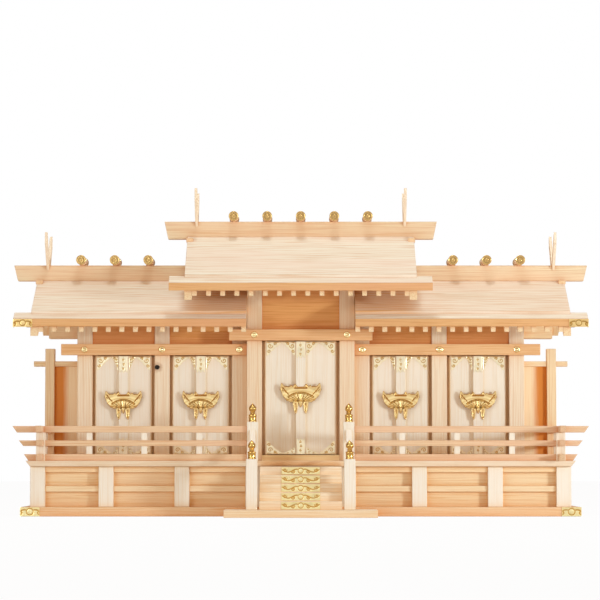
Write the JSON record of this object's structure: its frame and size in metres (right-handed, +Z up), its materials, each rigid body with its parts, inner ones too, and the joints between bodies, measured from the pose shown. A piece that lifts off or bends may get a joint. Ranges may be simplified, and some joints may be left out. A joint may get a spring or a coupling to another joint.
{
  "type": "household shinto altar (kamidana)",
  "caption": "Wooden household shrine with a raised centre room between two wings, railed floor, front stair, gilt fittings and paired doors that swing outwards.",
  "frame": {"origin": "centre of the base board's underside, on the surface the shrine stands on", "axes": "+X to the right along the ridges, +Y to the back, +Z up; the front with the stair faces -Y"},
  "size_m": [0.916, 0.32, 0.5185],
  "materials": {
    "pale_wood": "planed, unvarnished",
    "tan_wood": "planed, unvarnished",
    "gilt_brass": "polished, engraved"
  },
  "bodies": {
    "root": {"back_walls": "tan_wood", "bargeboards": "pale_wood", "base_board": "tan_wood", "base_corner_plates": "gilt_brass", "base_panels": "tan_wood", "base_posts": "pale_wood", "base_rails": "pale_wood", "beam_studs": "gilt_brass", "centre_posts": "pale_wood", "centre_roof_front": "pale_wood", "centre_roof_rear": "pale_wood", "eave_boards": "tan_wood", "eave_end_plates": "gilt_brass", "floor_board": "pale_wood", "front_rails": "tan_wood", "lintels": "tan_wood", "log_caps": "gilt_brass", "newel_finials": "gilt_brass", "rafters_front": "pale_wood", "rafters_rear": "pale_wood", "rail_struts": "pale_wood", "ridge_boards": "tan_wood", "ridge_finials": "pale_wood", "ridge_logs": "pale_wood", "ridge_saddles": "tan_wood", "riser_plates": "gilt_brass", "screen_cap_rails": "tan_wood", "screen_panels": "tan_wood", "screen_posts": "pale_wood", "side_rails": "tan_wood", "side_walls": "tan_wood", "stair_board": "tan_wood", "stair_flight": "tan_wood", "stair_handrails": "pale_wood", "stair_newels": "pale_wood", "thresholds": "tan_wood", "tie_beams": "tan_wood", "upper_walls": "tan_wood", "wall_plates": "tan_wood", "wing_posts": "pale_wood", "wing_roof_front": "pale_wood", "wing_roof_rear": "pale_wood"},
    "left_outer_right_leaf": {"left_outer_door_right_leaf": "pale_wood", "left_outer_lock": "gilt_brass"},
    "left_outer_left_leaf": {"left_outer_door_left_leaf": "pale_wood"},
    "left_inner_right_leaf": {"left_inner_door_right_leaf": "pale_wood", "left_inner_lock": "gilt_brass"},
    "left_inner_left_leaf": {"left_inner_door_left_leaf": "pale_wood"},
    "centre_right_leaf": {"centre_door_right_leaf": "pale_wood", "centre_lock": "gilt_brass"},
    "centre_left_leaf": {"centre_door_left_leaf": "pale_wood"},
    "right_inner_right_leaf": {"right_inner_door_right_leaf": "pale_wood", "right_inner_lock": "gilt_brass"},
    "right_inner_left_leaf": {"right_inner_door_left_leaf": "pale_wood"},
    "right_outer_right_leaf": {"right_outer_door_right_leaf": "pale_wood", "right_outer_lock": "gilt_brass"},
    "right_outer_left_leaf": {"right_outer_door_left_leaf": "pale_wood"}
  },
  "joints": [
    {"name": "left_outer_right_leaf_hinge", "type": "hinge", "parent": "root", "child": "left_outer_right_leaf", "pos_m": [-0.2384, -0.027, 0.095], "axis": [0, 0, 1], "range_deg": [0, 90]},
    {"name": "left_outer_left_leaf_hinge", "type": "hinge", "parent": "root", "child": "left_outer_left_leaf", "pos_m": [-0.3228, -0.027, 0.095], "axis": [0, 0, 1], "range_deg": [-90, 0]},
    {"name": "left_inner_right_leaf_hinge", "type": "hinge", "parent": "root", "child": "left_inner_right_leaf", "pos_m": [-0.116, -0.027, 0.095], "axis": [0, 0, 1], "range_deg": [0, 90]},
    {"name": "left_inner_left_leaf_hinge", "type": "hinge", "parent": "root", "child": "left_inner_left_leaf", "pos_m": [-0.2004, -0.027, 0.095], "axis": [0, 0, 1], "range_deg": [-90, 0]},
    {"name": "centre_right_leaf_hinge", "type": "hinge", "parent": "root", "child": "centre_right_leaf", "pos_m": [0.054, -0.042, 0.095], "axis": [0, 0, 1], "range_deg": [0, 85]},
    {"name": "centre_left_leaf_hinge", "type": "hinge", "parent": "root", "child": "centre_left_leaf", "pos_m": [-0.054, -0.042, 0.095], "axis": [0, 0, 1], "range_deg": [-85, 0]},
    {"name": "right_inner_right_leaf_hinge", "type": "hinge", "parent": "root", "child": "right_inner_right_leaf", "pos_m": [0.2004, -0.027, 0.095], "axis": [0, 0, 1], "range_deg": [0, 90]},
    {"name": "right_inner_left_leaf_hinge", "type": "hinge", "parent": "root", "child": "right_inner_left_leaf", "pos_m": [0.116, -0.027, 0.095], "axis": [0, 0, 1], "range_deg": [-90, 0]},
    {"name": "right_outer_right_leaf_hinge", "type": "hinge", "parent": "root", "child": "right_outer_right_leaf", "pos_m": [0.3228, -0.027, 0.095], "axis": [0, 0, 1], "range_deg": [0, 90]},
    {"name": "right_outer_left_leaf_hinge", "type": "hinge", "parent": "root", "child": "right_outer_left_leaf", "pos_m": [0.2384, -0.027, 0.095], "axis": [0, 0, 1], "range_deg": [-90, 0]}
  ],
  "couplings": [
    {"joint": "left_outer_left_leaf_hinge", "follows": "left_outer_right_leaf_hinge", "ratio": -1},
    {"joint": "left_inner_left_leaf_hinge", "follows": "left_inner_right_leaf_hinge", "ratio": -1},
    {"joint": "centre_left_leaf_hinge", "follows": "centre_right_leaf_hinge", "ratio": -1},
    {"joint": "right_inner_left_leaf_hinge", "follows": "right_inner_right_leaf_hinge", "ratio": -1},
    {"joint": "right_outer_left_leaf_hinge", "follows": "right_outer_right_leaf_hinge", "ratio": -1}
  ]
}
